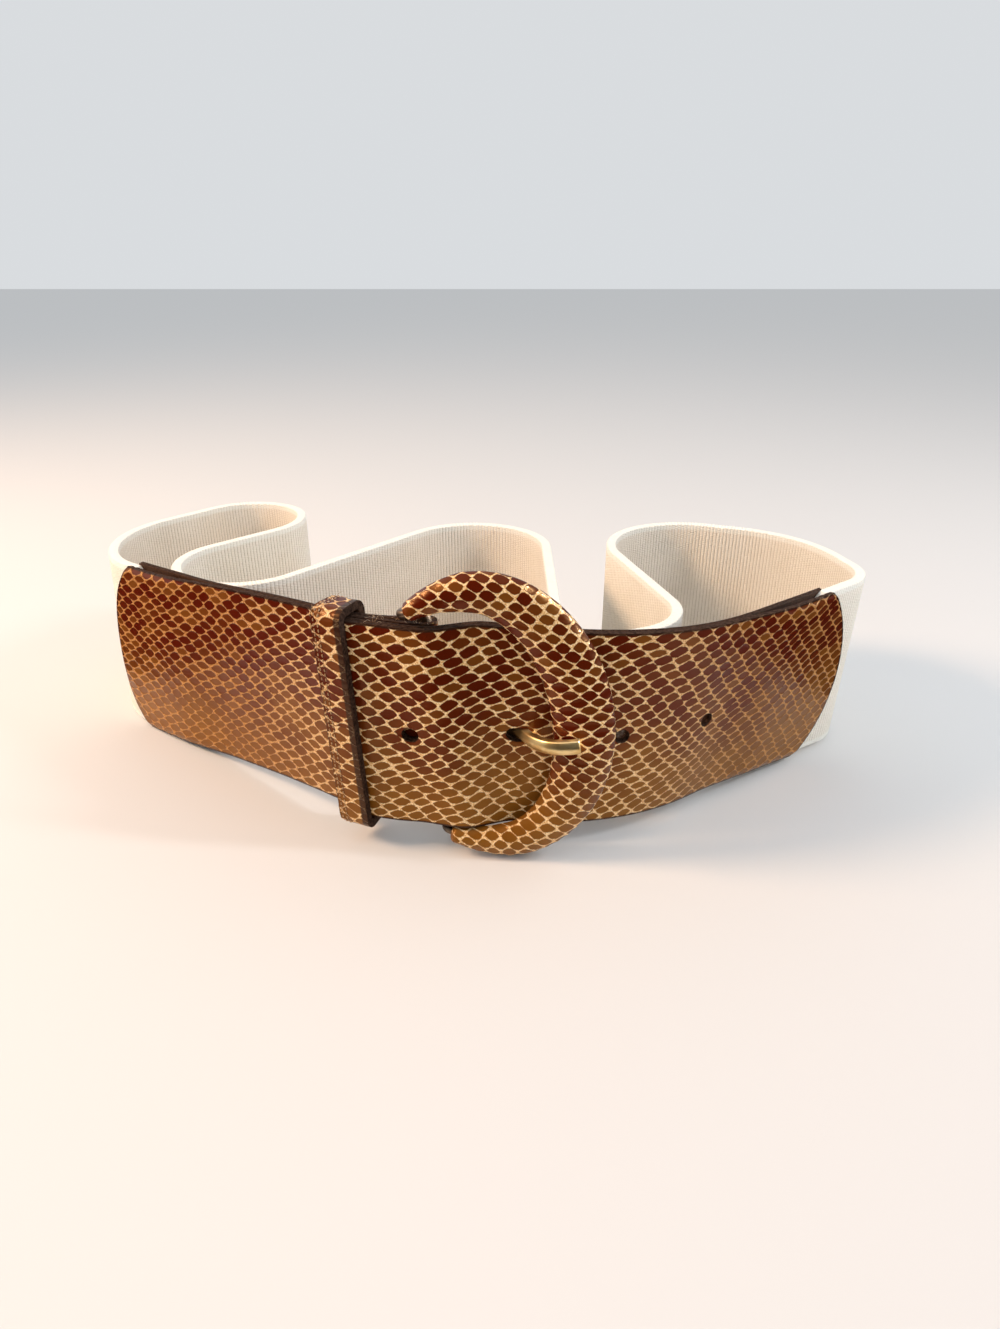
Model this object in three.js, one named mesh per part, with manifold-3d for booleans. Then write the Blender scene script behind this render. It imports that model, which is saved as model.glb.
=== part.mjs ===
// A wide stretch waist belt, fastened, standing on its lower edge as one closed wavy loop.
// Cream elastic webbing runs round the back; the front is scale-embossed leather with a
// covered crescent buckle, a brass prong, a wire bar and a leather keeper loop.
// Millimetres, +Z up. The front faces -Y and X runs to the wearer's left.
import * as THREE from "three";
import { mergeVertices } from "three/addons/utils/BufferGeometryUtils.js";
import Module from "manifold-3d";

const wasm = await Module();
wasm.setup();

// The loop as it stands, along the middle of the band
const loopWidth = 230;
const loopDepth = 135;

// Band and leather
const webbingWidth = 53;
const webbingThickness = 3;
const strapWidth = 54;
const faceThickness = 1.3;
const liningThickness = 1.1;
const clearance = 0.3;
const seamOverlap = 28;
const seamRamp = 12;
const endRadius = 36;

// Distances along the belt, measured from the bar
const frontToBar = 25.6;
const tabReach = 128.4;
const strapReach = 123.6;
const tipReach = 24;
const prongHoleReach = 17.5;
const holePitch = 25.4;
const holesTowardsTip = 1;
const holesTowardsEnd = 2;
const barRamp = 12;
const settleLength = 14;

// Holes and the slot for the prong
const holeDiameter = 4;
const holeStretch = 1.4;
const holeDrop = 1.3;
const slotReach = 6;
const slotEase = 0.6;

// Covered crescent buckle
const ringHalfWidth = 22.9;
const ringHalfHeight = 33.6;
const hornSweep = 30.8;
const ringBandWide = 14.8;
const ringBandNarrow = 9.3;
const hornTip = 4.6;
const hornAngle = 114;
const ringFront = 3.6;
const ringBack = 1.8;
const ringRoll = 8.5;
const ringToBar = 10.5;
const barSetback = 4.2;
const strapDrop = 0.9;

// Wire bar
const barDiameter = 2.2;
const socketDepth = 3;

// Prong
const prongWidth = 3;
const prongThickness = 1.7;
const prongTipReach = 31.6;
const prongCrown = 0.6;
const prongLoopStart = -15;

// Keeper loop
const keeperReach = 19.7;
const keeperWidth = 7.2;
const keeperThickness = 2.2;
const keeperHeadroom = 0.9;
const keeperEase = 0.5;
const keeperSlant = 3;
const keeperCorner = 1.2;

// How the lower edge rises from the table towards the buckle
const liftSpreadLeft = 84;
const liftPowerLeft = 2.5;
const liftSpreadRight = 103;
const liftPowerRight = 1.5;
const restLift = 0.4;

// How the band leans off upright, in degrees: its top goes back at the left end of the
// leather and forward on the hole strap, and each lean fades away over the spread
const leanLeft = 3;
const leanRight = 8;
const leanReachLeft = 125;
const leanReachRight = 80;
const leanSpread = 44;

// Steps of the faceted walls
const webbingSteps = 146;
const webbingRows = 2;
const tabSteps = 56;
const strapSteps = 40;
const leatherRows = 8;
const prongSteps = 44;
const wireSteps = 52;

// Bends of the loop seen from above, in order from the buckle to the right and round the back.
// across: share of loopWidth from the middle; back: share of loopDepth from the front;
// radius: share of loopWidth; side: 1 bulges outwards, -1 is a valley.
const bends = [
  { name: "front left", across: -0.023, back: 0.359, radius: 0.201, side: 1 },
  { name: "front", across: 0.1, back: 0.504, radius: 0.296, side: 1 },
  { name: "right corner", across: 0.427, back: 0.449, radius: 0.0735, side: 1 },
  { name: "right back", across: 0.33, back: 0.497, radius: 0.166, side: 1 },
  { name: "right loop", across: 0.311, back: 0.616, radius: 0.109, side: 1 },
  { name: "valley right", across: 0.178, back: 0.25, radius: 0.074, side: -1 },
  { name: "valley left", across: 0.16, back: 0.193, radius: 0.049, side: -1 },
  { name: "middle loop", across: 0.007, back: 0.6215, radius: 0.104, side: 1 },
  { name: "left valley", across: -0.291, back: 0.519, radius: 0.089, side: -1 },
  { name: "left back", across: -0.3465, back: 0.852, radius: 0.0857, side: 1 },
  { name: "left corner", across: -0.355, back: 0.678, radius: 0.146, side: 1 },
];

// The prong past its loop. way: share of the way from the hole to the tip, negative towards
// the bar; climb: share of the climb from behind the strap to the front of the ring.
const prongBends = [
  { way: -0.5, climb: 0 },
  { way: -0.2, climb: 0.03 },
  { way: -0.01, climb: 0.24 },
  { way: 0.19, climb: 0.61 },
  { way: 0.37, climb: 0.82 },
  { way: 0.52, climb: 0.93 },
  { way: 0.75, climb: 1 },
  { way: 1, climb: 1 },
];

const turn = 2 * Math.PI;
const smooth = (t) => THREE.MathUtils.smoothstep(t, 0, 1);
const degrees = THREE.MathUtils.degToRad;

// The route: bends joined by straight runs that touch them
function makeRoute() {
  const circles = bends.map((bend) => ({
    centre: new THREE.Vector2(bend.across * loopWidth, bend.back * loopDepth),
    radius: bend.side * bend.radius * loopWidth,
  }));
  const after = (index) => circles[(index + 1) % circles.length];
  const normals = circles.map((circle, index) => {
    const step = after(index).centre.clone().sub(circle.centre);
    const lean = (circle.radius - after(index).radius) / step.length();
    const along = step.clone().normalize();
    const side = new THREE.Vector2(along.y, -along.x).multiplyScalar(Math.sqrt(1 - lean * lean));
    return side.addScaledVector(along, lean);
  });
  const pieces = [];
  circles.forEach((circle, index) => {
    const before = normals[(index + circles.length - 1) % circles.length];
    const start = before.angle();
    const sweep = normals[index].angle() - start;
    const angle = circle.radius > 0 ? (sweep + turn) % turn : -((turn - sweep) % turn);
    pieces.push({ circle, start, angle, length: angle * circle.radius });
    const from = circle.centre.clone().addScaledVector(normals[index], circle.radius);
    const to = after(index).centre.clone().addScaledVector(normals[index], after(index).radius);
    pieces.push({ from, to, normal: normals[index], length: from.distanceTo(to) });
  });
  const total = pieces.reduce((sum, piece) => sum + piece.length, 0);
  const firstBend = pieces[0].length + pieces[1].length;
  const facing = (-Math.PI / 2 - pieces[2].start + 2 * turn) % turn;
  return { pieces, total, front: firstBend + facing * pieces[2].circle.radius };
}

const route = makeRoute();

// The point of the route at a distance to the right of the bar, and its outward normal
function routeAt(distance) {
  let left = (distance - frontToBar + route.front + 2 * route.total) % route.total;
  let piece = route.pieces[0];
  for (piece of route.pieces) {
    if (left <= piece.length) break;
    left -= piece.length;
  }
  if (!piece.circle) {
    return { point: piece.from.clone().lerp(piece.to, left / piece.length), normal: piece.normal };
  }
  const angle = piece.start + left / piece.circle.radius;
  const normal = new THREE.Vector2(Math.cos(angle), Math.sin(angle));
  return { point: piece.circle.centre.clone().addScaledVector(normal, piece.circle.radius), normal };
}

// The slope at which the band's top leans outwards
function leanAt(along) {
  const share = (peak) => Math.exp(-(((along - peak) / leanSpread) ** 2));
  return Math.tan(degrees(leanRight * share(leanReachRight) - leanLeft * share(-leanReachLeft)));
}

// A point of the belt: along from the bar, out from the middle of the band, and its height
function place(along, out, height) {
  const { point, normal } = routeAt(along);
  const reach = out + leanAt(along) * (height - middleHeight(along));
  return new THREE.Vector3(point.x + normal.x * reach, point.y + normal.y * reach, height);
}

// A closed wall between two faces, given as points over columns and rows
function wall(columns, rows, outerAt, innerAt, closedRows = false) {
  const points = [];
  const index = [];
  const perColumn = closedRows ? rows : rows + 1;
  const id = (face, i, j) => (face * (columns + 1) + i) * perColumn + (j % perColumn);
  for (const at of [outerAt, innerAt]) {
    for (let i = 0; i <= columns; i++) {
      for (let j = 0; j < perColumn; j++) points.push(...at(i / columns, j / rows).toArray());
    }
  }
  const quad = (a, b, c, d) => index.push(a, b, c, a, c, d);
  for (let i = 0; i < columns; i++) {
    for (let j = 0; j < rows; j++) {
      quad(id(0, i, j), id(0, i + 1, j), id(0, i + 1, j + 1), id(0, i, j + 1));
      quad(id(1, i, j), id(1, i, j + 1), id(1, i + 1, j + 1), id(1, i + 1, j));
    }
    if (closedRows) continue;
    quad(id(0, i, 0), id(1, i, 0), id(1, i + 1, 0), id(0, i + 1, 0));
    quad(id(0, i, rows), id(0, i + 1, rows), id(1, i + 1, rows), id(1, i, rows));
  }
  for (let j = 0; j < rows; j++) {
    quad(id(0, 0, j), id(0, 0, j + 1), id(1, 0, j + 1), id(1, 0, j));
    quad(id(0, columns, j), id(1, columns, j), id(1, columns, j + 1), id(0, columns, j + 1));
  }
  const geometry = new THREE.BufferGeometry();
  geometry.setAttribute("position", new THREE.Float32BufferAttribute(points, 3));
  geometry.setIndex(index);
  return geometry;
}

function toSolid(geometry) {
  const bare = geometry.clone();
  bare.deleteAttribute("normal");
  bare.deleteAttribute("uv");
  const merged = mergeVertices(bare, 1e-4);
  return new wasm.Manifold(new wasm.Mesh({
    numProp: 3,
    vertProperties: new Float32Array(merged.getAttribute("position").array),
    triVerts: new Uint32Array(merged.getIndex().array),
  }));
}

function fromSolid(solid) {
  const mesh = solid.getMesh();
  const geometry = new THREE.BufferGeometry();
  geometry.setAttribute("position", new THREE.BufferAttribute(mesh.vertProperties, 3));
  geometry.setIndex(new THREE.BufferAttribute(mesh.triVerts, 1));
  return geometry;
}

function cut(geometry, cutters) {
  const solid = cutters.reduce((left, cutter) => left.subtract(toSolid(cutter)), toSolid(geometry));
  return fromSolid(solid);
}

// Buckle frame: origin in the middle of the ring, front towards -Y, before the ring rolls
function ringMiddle(angle) {
  const reach = Math.cos(angle) < 0 ? hornSweep : ringHalfWidth;
  const point = new THREE.Vector2(reach * Math.cos(angle), ringHalfHeight * Math.sin(angle));
  const outward = new THREE.Vector2(Math.cos(angle) / reach, Math.sin(angle) / ringHalfHeight);
  outward.normalize();
  return { point, outward, along: new THREE.Vector2(-outward.y, outward.x) };
}

function ringBand(angle) {
  const quarter = Math.PI / 2;
  const past = (Math.abs(angle) - quarter) / (degrees(hornAngle) - quarter);
  if (past > 0) return THREE.MathUtils.lerp(ringBandNarrow, hornTip, past);
  const fullness = Math.cos(angle) ** 1.2;
  return THREE.MathUtils.lerp(ringBandNarrow, ringBandWide, fullness);
}

// The rounded end past each horn's tip
const capLength = hornTip / 3;

// A closed skin over a run of rings of points, with flat ends
function skin(rings) {
  const sides = rings[0].length;
  const points = rings.flat().flatMap((point) => point.toArray());
  const index = [];
  for (let i = 0; i + 1 < rings.length; i++) {
    for (let j = 0; j < sides; j++) {
      const a = i * sides + j;
      const b = i * sides + (j + 1) % sides;
      index.push(a, b, b + sides, a, b + sides, a + sides);
    }
  }
  const last = (rings.length - 1) * sides;
  for (let j = 1; j + 1 < sides; j++) {
    index.push(0, j + 1, j);
    index.push(last, last + j, last + j + 1);
  }
  const geometry = new THREE.BufferGeometry();
  geometry.setAttribute("position", new THREE.Float32BufferAttribute(points, 3));
  geometry.setIndex(index);
  return geometry;
}

function makeRing() {
  const stations = 32;
  const sides = 12;
  const tip = degrees(hornAngle);
  const capSteps = [0.35, 0.75, 1];
  const section = (angle, size, push) => {
    const { point, outward, along } = ringMiddle(angle);
    const centre = point.addScaledVector(along, push);
    const half = size * ringBand(angle) / 2;
    const slim = size * Math.min(1, 0.7 + 0.3 * ringBand(angle) / ringBandNarrow);
    return Array.from({ length: sides }, (_, side) => {
      const swing = side / sides * turn;
      const depth = Math.sin(swing) > 0 ? ringBack : ringFront;
      const across = centre.clone().addScaledVector(outward, half * Math.cos(swing));
      return new THREE.Vector3(across.x, depth * slim * Math.sin(swing), across.y);
    });
  };
  const capSize = (share) => Math.sqrt(1 - 0.8 * share * share);
  const rings = capSteps.map((share) => section(-tip, capSize(share), -share * capLength)).reverse();
  for (let i = 0; i <= stations; i++) {
    rings.push(section(THREE.MathUtils.lerp(-tip, tip, i / stations), 1, 0));
  }
  capSteps.forEach((share) => rings.push(section(tip, capSize(share), share * capLength)));
  return skin(rings);
}

// The wire: up the bar, round in a hook past the horn's tip and back into its end
function wireRoute() {
  const { point, along } = ringMiddle(degrees(hornAngle));
  const hook = barSetback / 2;
  const socket = (push) => new THREE.Vector3(point.x + along.x * push, 0, point.y + along.y * push);
  const mouth = socket(capLength);
  const hookDrop = 0.4 * barDiameter;
  const level = mouth.z - hookDrop;
  const straight = level - hook;
  const upper = [0.5, 0.85, 0.96, 1].map((share) => (
    new THREE.Vector3(-ringToBar, barSetback, share * straight)
  ));
  for (const swing of [30, 60]) {
    const x = -ringToBar - hook * (1 - Math.cos(degrees(swing)));
    upper.push(new THREE.Vector3(x, barSetback, straight + hook * Math.sin(degrees(swing))));
  }
  for (const swing of [180, 135, 90, 45]) {
    const x = mouth.x - hook * Math.sin(degrees(swing));
    const height = THREE.MathUtils.lerp(mouth.z, level, swing / 180);
    upper.push(new THREE.Vector3(x, hook * (1 - Math.cos(degrees(swing))), height));
  }
  upper.push(mouth, socket(-socketDepth));
  const lower = upper.map((spot) => new THREE.Vector3(spot.x, spot.y, -spot.z)).reverse();
  return new THREE.CatmullRomCurve3([...lower, ...upper], false, "centripetal");
}

function makeWire(diameter) {
  const sides = 8;
  const outline = Array.from({ length: sides }, (_, side) => {
    const angle = side / sides * turn;
    return new THREE.Vector2(Math.cos(angle), Math.sin(angle)).multiplyScalar(diameter / 2);
  });
  const settings = { steps: wireSteps, bevelEnabled: false, extrudePath: wireRoute() };
  return new THREE.ExtrudeGeometry(new THREE.Shape(outline), settings);
}

// The prong's middle line: x is the reach from the bar, y is forward of it
const prongLoopRadius = barDiameter / 2 + clearance + prongThickness / 2;
const prongRest = barSetback + ringFront + clearance + prongThickness / 2;

function prongLine() {
  const points = [];
  for (let angle = prongLoopStart; angle <= 270; angle += 15) {
    const spot = new THREE.Vector3(Math.cos(degrees(angle)), Math.sin(degrees(angle)), 0);
    points.push(spot.multiplyScalar(prongLoopRadius));
  }
  for (const { way, climb } of prongBends) {
    const reach = prongHoleReach + way * (prongTipReach - prongHoleReach);
    const forward = THREE.MathUtils.lerp(-prongLoopRadius, prongRest, climb);
    points.push(new THREE.Vector3(reach, forward, 0));
  }
  return new THREE.CatmullRomCurve3(points, false, "centripetal");
}

// ease widens the prong on every side, to cut its own clearance
function makeProng(ease) {
  const line = prongLine();
  const face = (side) => (column, row) => {
    const spot = line.getPointAt(column);
    const along = line.getTangentAt(column);
    const crown = side > 0 ? prongCrown * (2 * row - 1) ** 2 : 0;
    const off = side * (prongThickness / 2 + ease) - crown;
    const reach = spot.x - along.y * off;
    const forward = spot.y + along.x * off;
    const up = prongHeight + (row - 0.5) * (prongWidth + 2 * ease);
    return new THREE.Vector3(reach - ringToBar, barSetback - forward, up);
  };
  return wall(prongSteps, 3, face(1), face(-1));
}

// Where the buckle stands: its bar on the middle of the band, its rim on the table
const bar = routeAt(0);
const buckleTurn = new THREE.Matrix4()
  .makeRotationZ(Math.atan2(bar.normal.x, -bar.normal.y))
  .multiply(new THREE.Matrix4().makeRotationY(-degrees(ringRoll)))
  .multiply(new THREE.Matrix4().makeTranslation(ringToBar, -barSetback, 0));
const ringShape = makeRing();
ringShape.applyMatrix4(buckleTurn).computeBoundingBox();
const barHeight = -ringShape.boundingBox.min.z;
const buckleFrame = new THREE.Matrix4()
  .makeTranslation(bar.point.x, bar.point.y, barHeight)
  .multiply(buckleTurn);

// The middle height of the band, and the slanting line of the bar
function middleHeight(along) {
  const spread = along < 0 ? liftSpreadLeft : liftSpreadRight;
  const power = along < 0 ? liftPowerLeft : liftPowerRight;
  const lift = barHeight - strapDrop - webbingWidth / 2;
  const fall = Math.exp(-((Math.abs(along) / spread) ** power));
  return webbingWidth / 2 + Math.max(0, (lift + restLift) * fall - restLift);
}

const strapHeight = (along, row) => middleHeight(along) + (row - 0.5) * strapWidth;
const barAlong = (height) => -Math.tan(degrees(ringRoll)) * (height - barHeight);

const holeHeight = (along) => middleHeight(along) - holeDrop;
const holeRise = prongHoleReach * Math.sin(degrees(ringRoll));
const prongHeight = (holeHeight(prongHoleReach) - barHeight - holeRise)
  / Math.cos(degrees(ringRoll));

// How far each end of the leather falls back from its middle, up the height of the strap
function endFall(row) {
  const up = (row - 0.5) * strapWidth;
  return endRadius - Math.sqrt(endRadius * endRadius - up * up);
}

// Half the gap between the two leather layers, where they part to take the webbing
const closedGap = clearance / 2;
const webbingGap = webbingThickness / 2 + clearance;

function seamGap(along, reach) {
  const inside = reach - seamOverlap - clearance - Math.abs(along);
  return THREE.MathUtils.lerp(webbingGap, closedGap, smooth(inside / seamRamp));
}

// Elastic webbing, from inside the right leather round the back to inside the left
function makeWebbing() {
  const start = strapReach - seamOverlap;
  const end = route.total - tabReach + seamOverlap;
  const face = (side) => (column, row) => {
    const onward = THREE.MathUtils.lerp(start, end, column);
    const along = onward > route.total / 2 ? onward - route.total : onward;
    const height = middleHeight(along) + (row - 0.5) * webbingWidth;
    return place(along, side * webbingThickness / 2, height);
  };
  return wall(webbingSteps, webbingRows, face(1), face(-1));
}

// Buckle tab: one leather strip folded round the bar, its two ends gripping the webbing
const foldInside = barDiameter / 2 + clearance;

function tabGap(along, barPlace) {
  const near = smooth(1 + (along - barPlace) / barRamp);
  return THREE.MathUtils.lerp(seamGap(along, tabReach), foldInside, near);
}

function makeTab() {
  const runShare = 0.39;
  const face = (side) => (column, row) => {
    const thickness = side > 0 ? faceThickness : 0;
    const fold = barAlong(strapHeight(0, row));
    const end = endFall(row) - tabReach;
    if (column > runShare && column < 1 - runShare) {
      const swing = (column - runShare) / (1 - 2 * runShare) * Math.PI;
      const radius = foldInside + thickness;
      const height = strapHeight(0, row);
      return place(fold + radius * Math.sin(swing), radius * Math.cos(swing), height);
    }
    const front = column < 0.5;
    const share = (front ? column : 1 - column) / runShare;
    const along = THREE.MathUtils.lerp(end, fold, share);
    const out = tabGap(along, fold) + thickness;
    return place(along, front ? out : -out, strapHeight(along, row));
  };
  const strip = wall(tabSteps, leatherRows, face(1), face(0));
  const slotDepth = 4 * (foldInside + faceThickness);
  const slot = new THREE.BoxGeometry(slotReach * 2, slotDepth, prongWidth + 2 * slotEase);
  slot.translate(-ringToBar, barSetback, prongHeight).applyMatrix4(buckleFrame);
  return cut(strip, [slot]);
}

// Hole strap: face and lining lie over the tab at the bar and settle back past it
const strapOverBar = prongLoopRadius + prongThickness / 2 + clearance + liningThickness + closedGap;
const strapOverTab = closedGap + faceThickness + clearance + liningThickness + closedGap;

function strapMiddle(along, height) {
  const pastBar = along - barAlong(height);
  if (pastBar > 0) return strapOverBar * (1 - smooth(pastBar / settleLength));
  return THREE.MathUtils.lerp(strapOverTab, strapOverBar, smooth(1 + pastBar / barRamp));
}

function makeHole(along, stretch) {
  const { point, normal } = routeAt(along);
  const radius = holeDiameter / 2;
  const hole = new THREE.CylinderGeometry(radius, radius, 4 * strapOverBar, 24);
  hole.scale(stretch, 1, 1).rotateZ(normal.angle() + Math.PI / 2);
  return hole.translate(point.x, point.y, holeHeight(along));
}

function makeStrapLayer(near, thickness) {
  const face = (side) => (column, row) => {
    const along = THREE.MathUtils.lerp(-tipReach, strapReach - endFall(row), column);
    const height = strapHeight(along, row);
    const gap = seamGap(Math.max(0, along), strapReach);
    const out = near * (gap + side * thickness);
    return place(along, strapMiddle(along, height) + out, height);
  };
  const faces = near > 0 ? [face(1), face(0)] : [face(0), face(1)];
  const cutters = [makeProng(clearance).applyMatrix4(buckleFrame)];
  for (let step = -holesTowardsTip; step <= holesTowardsEnd; step++) {
    cutters.push(makeHole(prongHoleReach + step * holePitch, step === 0 ? holeStretch : 1));
  }
  return cut(wall(strapSteps, leatherRows, ...faces), cutters);
}

// Keeper: a leather loop round every layer, a little slanted
function makeKeeper() {
  const cornerSteps = 4;
  const rows = 4 * (cornerSteps + 1);
  const front = strapOverTab + closedGap + faceThickness + keeperEase;
  const back = closedGap + faceThickness + keeperEase;
  const halfOut = (front + back) / 2;
  const halfUp = strapWidth / 2 + keeperHeadroom;
  const face = (thickness) => (column, row) => {
    const step = Math.round(row * rows) % rows;
    const corner = Math.floor(step / (cornerSteps + 1));
    const angle = (corner + (step % (cornerSteps + 1)) / cornerSteps) * Math.PI / 2;
    const signOut = corner === 0 || corner === 3 ? 1 : -1;
    const signUp = corner < 2 ? 1 : -1;
    const radius = keeperCorner + thickness;
    const out = signOut * (halfOut - keeperCorner) + radius * Math.cos(angle);
    const up = signUp * (halfUp - keeperCorner) + radius * Math.sin(angle);
    const lean = Math.tan(degrees(keeperSlant)) * up;
    const along = -keeperReach - keeperWidth * (1 - column) - lean;
    return place(along, out + (front - back) / 2, middleHeight(-keeperReach) + up);
  };
  return wall(4, rows, face(keeperThickness), face(0), true);
}

// Assembly
const leatherBrown = new THREE.MeshStandardMaterial({ color: 0x8a4a22, roughness: 0.38 });
const liningBrown = new THREE.MeshStandardMaterial({ color: 0x5a3a28, roughness: 0.7 });
const creamElastic = new THREE.MeshStandardMaterial({ color: 0xe9dfcb, roughness: 0.95 });
const darkWire = new THREE.MeshStandardMaterial({ color: 0x6b5f55, roughness: 0.4, metalness: 1 });
const oldBrass = new THREE.MeshStandardMaterial({ color: 0xc49a45, roughness: 0.3, metalness: 1 });

const inBuckle = (geometry) => geometry.applyMatrix4(buckleFrame);
const ringSolid = cut(makeRing(), [makeWire(barDiameter + 2 * clearance)]);
const pieces = [
  ["elastic_webbing", makeWebbing(), creamElastic],
  ["buckle_tab", makeTab(), leatherBrown],
  ["hole_strap_face", makeStrapLayer(1, faceThickness), leatherBrown],
  ["hole_strap_lining", makeStrapLayer(-1, liningThickness), liningBrown],
  ["keeper", makeKeeper(), leatherBrown],
  ["buckle_ring", inBuckle(ringSolid), leatherBrown],
  ["buckle_bar", inBuckle(makeWire(barDiameter)), darkWire],
  ["prong", inBuckle(makeProng(0)), oldBrass],
];

const belt = new THREE.Group();
const box = new THREE.Box3();
for (const [name, geometry, material] of pieces) {
  const mesh = new THREE.Mesh(geometry, material.clone());
  mesh.name = name;
  belt.add(mesh);
  box.expandByObject(mesh);
}
const middle = box.getCenter(new THREE.Vector3());
belt.position.set(-middle.x, -middle.y, -box.min.z);

export default belt;
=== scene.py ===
# %% [markdown]
# # A wide stretch belt with a scale-embossed front
# The belt stands fastened on its lower edge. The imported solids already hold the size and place
# of every piece, so this lesson only makes each piece fine enough to look real and gives it its
# finish. Everything is in metres, in the frame of the solids.

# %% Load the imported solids
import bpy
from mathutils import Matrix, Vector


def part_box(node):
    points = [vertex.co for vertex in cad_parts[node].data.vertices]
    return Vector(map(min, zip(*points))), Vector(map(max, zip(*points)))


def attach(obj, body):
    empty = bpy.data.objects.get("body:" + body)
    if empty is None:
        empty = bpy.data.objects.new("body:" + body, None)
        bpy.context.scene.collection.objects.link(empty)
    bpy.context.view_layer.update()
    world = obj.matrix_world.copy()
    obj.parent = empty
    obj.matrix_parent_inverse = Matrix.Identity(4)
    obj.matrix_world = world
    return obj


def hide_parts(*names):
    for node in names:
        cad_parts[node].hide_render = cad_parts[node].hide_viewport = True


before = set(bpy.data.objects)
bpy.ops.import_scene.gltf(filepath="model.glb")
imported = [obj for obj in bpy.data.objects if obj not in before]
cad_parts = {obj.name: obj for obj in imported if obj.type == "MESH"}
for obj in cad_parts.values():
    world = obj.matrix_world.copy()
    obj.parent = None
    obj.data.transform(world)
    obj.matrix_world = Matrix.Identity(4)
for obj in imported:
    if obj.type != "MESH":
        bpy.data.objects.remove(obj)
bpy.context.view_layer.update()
print("solids:", sorted(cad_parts))

# %% Tools of the lesson
import math
import random
from collections import namedtuple

import bmesh
import bpy
import numpy as np
from mathutils import Matrix, Vector

mm = 0.001
turn = 2 * math.pi


def ease(share):
    """Rises smoothly from 0 to 1"""
    share = np.clip(share, 0, 1)
    return share * share * (3 - 2 * share)


def between(start, end, share):
    return start + (end - start) * share


def stand(name, data):
    """Puts a mesh, a lamp or the camera into the scene"""
    thing = bpy.data.objects.new(name, data)
    bpy.context.scene.collection.objects.link(thing)
    return thing


print("one millimetre is", mm)

# %% [markdown]
# ## Camera
# A camera stands close in front of the buckle and looks down on it. The lens follows from its
# focal length in the picture's own pixels, which is the usual way to match a photograph.

# %% Camera
photo_height = 1329
focal_pixels = 850
camera_place = (10.6 * mm, -240.4 * mm, 139.7 * mm)
camera_pitch = math.radians(26.3)

camera_data = bpy.data.cameras.new("camera")
camera_data.sensor_width = 36
camera_data.lens = camera_data.sensor_width * focal_pixels / photo_height
camera_data.clip_start = 5 * mm
camera = stand("camera", camera_data)
camera.location = camera_place
camera.rotation_euler = (math.pi / 2 - camera_pitch, 0, 0)
bpy.context.scene.camera = camera
print("lens", round(camera_data.lens, 2), "mm")

# %% [markdown]
# ## The route of the loop
# Seen from above the belt is a wavy closed loop. It could be drawn as one long curve, but a row
# of round bends joined by straight runs is easier to steer: each bend has a place and a radius,
# and the runs between them follow by themselves.

# %% Bends
loop_width = 230 * mm
loop_depth = 135 * mm
Bend = namedtuple("Bend", "name across back radius side")
bends = [
    Bend("front left", -0.023, 0.359, 0.201, 1),
    Bend("front", 0.1, 0.504, 0.296, 1),
    Bend("right corner", 0.427, 0.449, 0.0735, 1),
    Bend("right back", 0.33, 0.497, 0.166, 1),
    Bend("right loop", 0.311, 0.616, 0.109, 1),
    Bend("valley right", 0.178, 0.25, 0.074, -1),
    Bend("valley left", 0.16, 0.193, 0.049, -1),
    Bend("middle loop", 0.007, 0.6215, 0.104, 1),
    Bend("left valley", -0.291, 0.519, 0.089, -1),
    Bend("left back", -0.3465, 0.852, 0.0857, 1),
    Bend("left corner", -0.355, 0.678, 0.146, 1),
]
print(len(bends), "bends")


# %% Trace the route
def trace_route(step=0.25 * mm):
    """Rows of distance, place and outward normal along the loop, and the front-most distance"""
    centres = [np.array([b.across * loop_width, b.back * loop_depth]) for b in bends]
    radii = [b.side * b.radius * loop_width for b in bends]
    count = len(bends)
    normals = []
    for k in range(count):
        gap = centres[(k + 1) % count] - centres[k]
        way = gap / np.linalg.norm(gap)
        lean = (radii[k] - radii[(k + 1) % count]) / np.linalg.norm(gap)
        normals.append(np.array([way[1], -way[0]]) * math.sqrt(1 - lean * lean) + way * lean)
    angles = [math.atan2(normal[1], normal[0]) % turn for normal in normals]
    rows = []
    travelled = 0
    front = 0
    for k in range(count):
        sweep = angles[k] - angles[k - 1]
        swing = sweep % turn if radii[k] > 0 else -(-sweep % turn)
        if k == 1:
            front = travelled + (-math.pi / 2 - angles[0]) % turn * radii[1]
        arc = swing * radii[k]
        for share in np.linspace(0, 1, max(2, int(arc / step)), endpoint=False):
            angle = angles[k - 1] + share * swing
            normal = np.array([math.cos(angle), math.sin(angle)])
            rows.append([travelled + share * arc, *(centres[k] + normal * radii[k]), *normal])
        travelled += arc
        start = centres[k] + normals[k] * radii[k]
        end = centres[(k + 1) % count] + normals[k] * radii[(k + 1) % count]
        run = np.linalg.norm(end - start)
        for share in np.linspace(0, 1, max(2, int(run / step)), endpoint=False):
            rows.append([travelled + share * run, *between(start, end, share), *normals[k]])
        travelled += run
    rows.append([travelled, *rows[0][1:]])
    return np.array(rows), travelled, front


route_rows, route_total, route_front = trace_route()
print("the loop is", round(route_total / mm), "mm round")

# %% [markdown]
# ## Sizes of the belt
# All distances along the belt start at the buckle's bar and grow to the right. These are the
# same driving sizes as the solids have, so that each fine piece lies where its solid does.

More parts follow.
